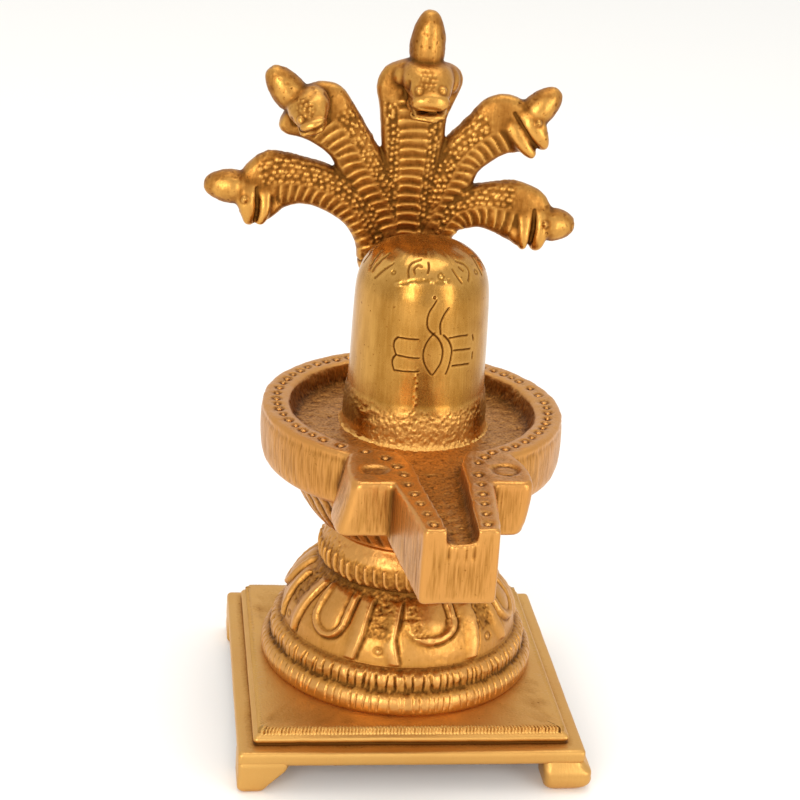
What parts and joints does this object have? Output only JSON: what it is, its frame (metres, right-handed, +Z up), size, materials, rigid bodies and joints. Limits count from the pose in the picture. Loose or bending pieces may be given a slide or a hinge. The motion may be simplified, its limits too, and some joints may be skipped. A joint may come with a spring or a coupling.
{
  "type": "shiva lingam idol",
  "caption": "Cast brass lingam in a yoni dish with a spout, on a lotus pedestal and square footed plinth, under a fan of hooded cobras.",
  "frame": {"origin": "middle of the bounding box's footprint, on the surface that the feet stand on", "axes": "+Z up along the lingam, spout of the yoni dish towards -Y, +X to the right as seen from the spout"},
  "size_m": [0.087, 0.099, 0.1595],
  "materials": {
    "lotus_pedestal": "brushed on the plinth, polished on the raised lotus lines, as cast between them",
    "yoni_lingam": "polished lingam, brushed dish with punched dots",
    "naga": "chased scales, polished on the high spots, dark in the recesses"
  },
  "bodies": {
    "root": {"lotus_pedestal": "lotus_pedestal", "yoni_lingam": "yoni_lingam", "naga": "naga"}
  },
  "joints": []
}
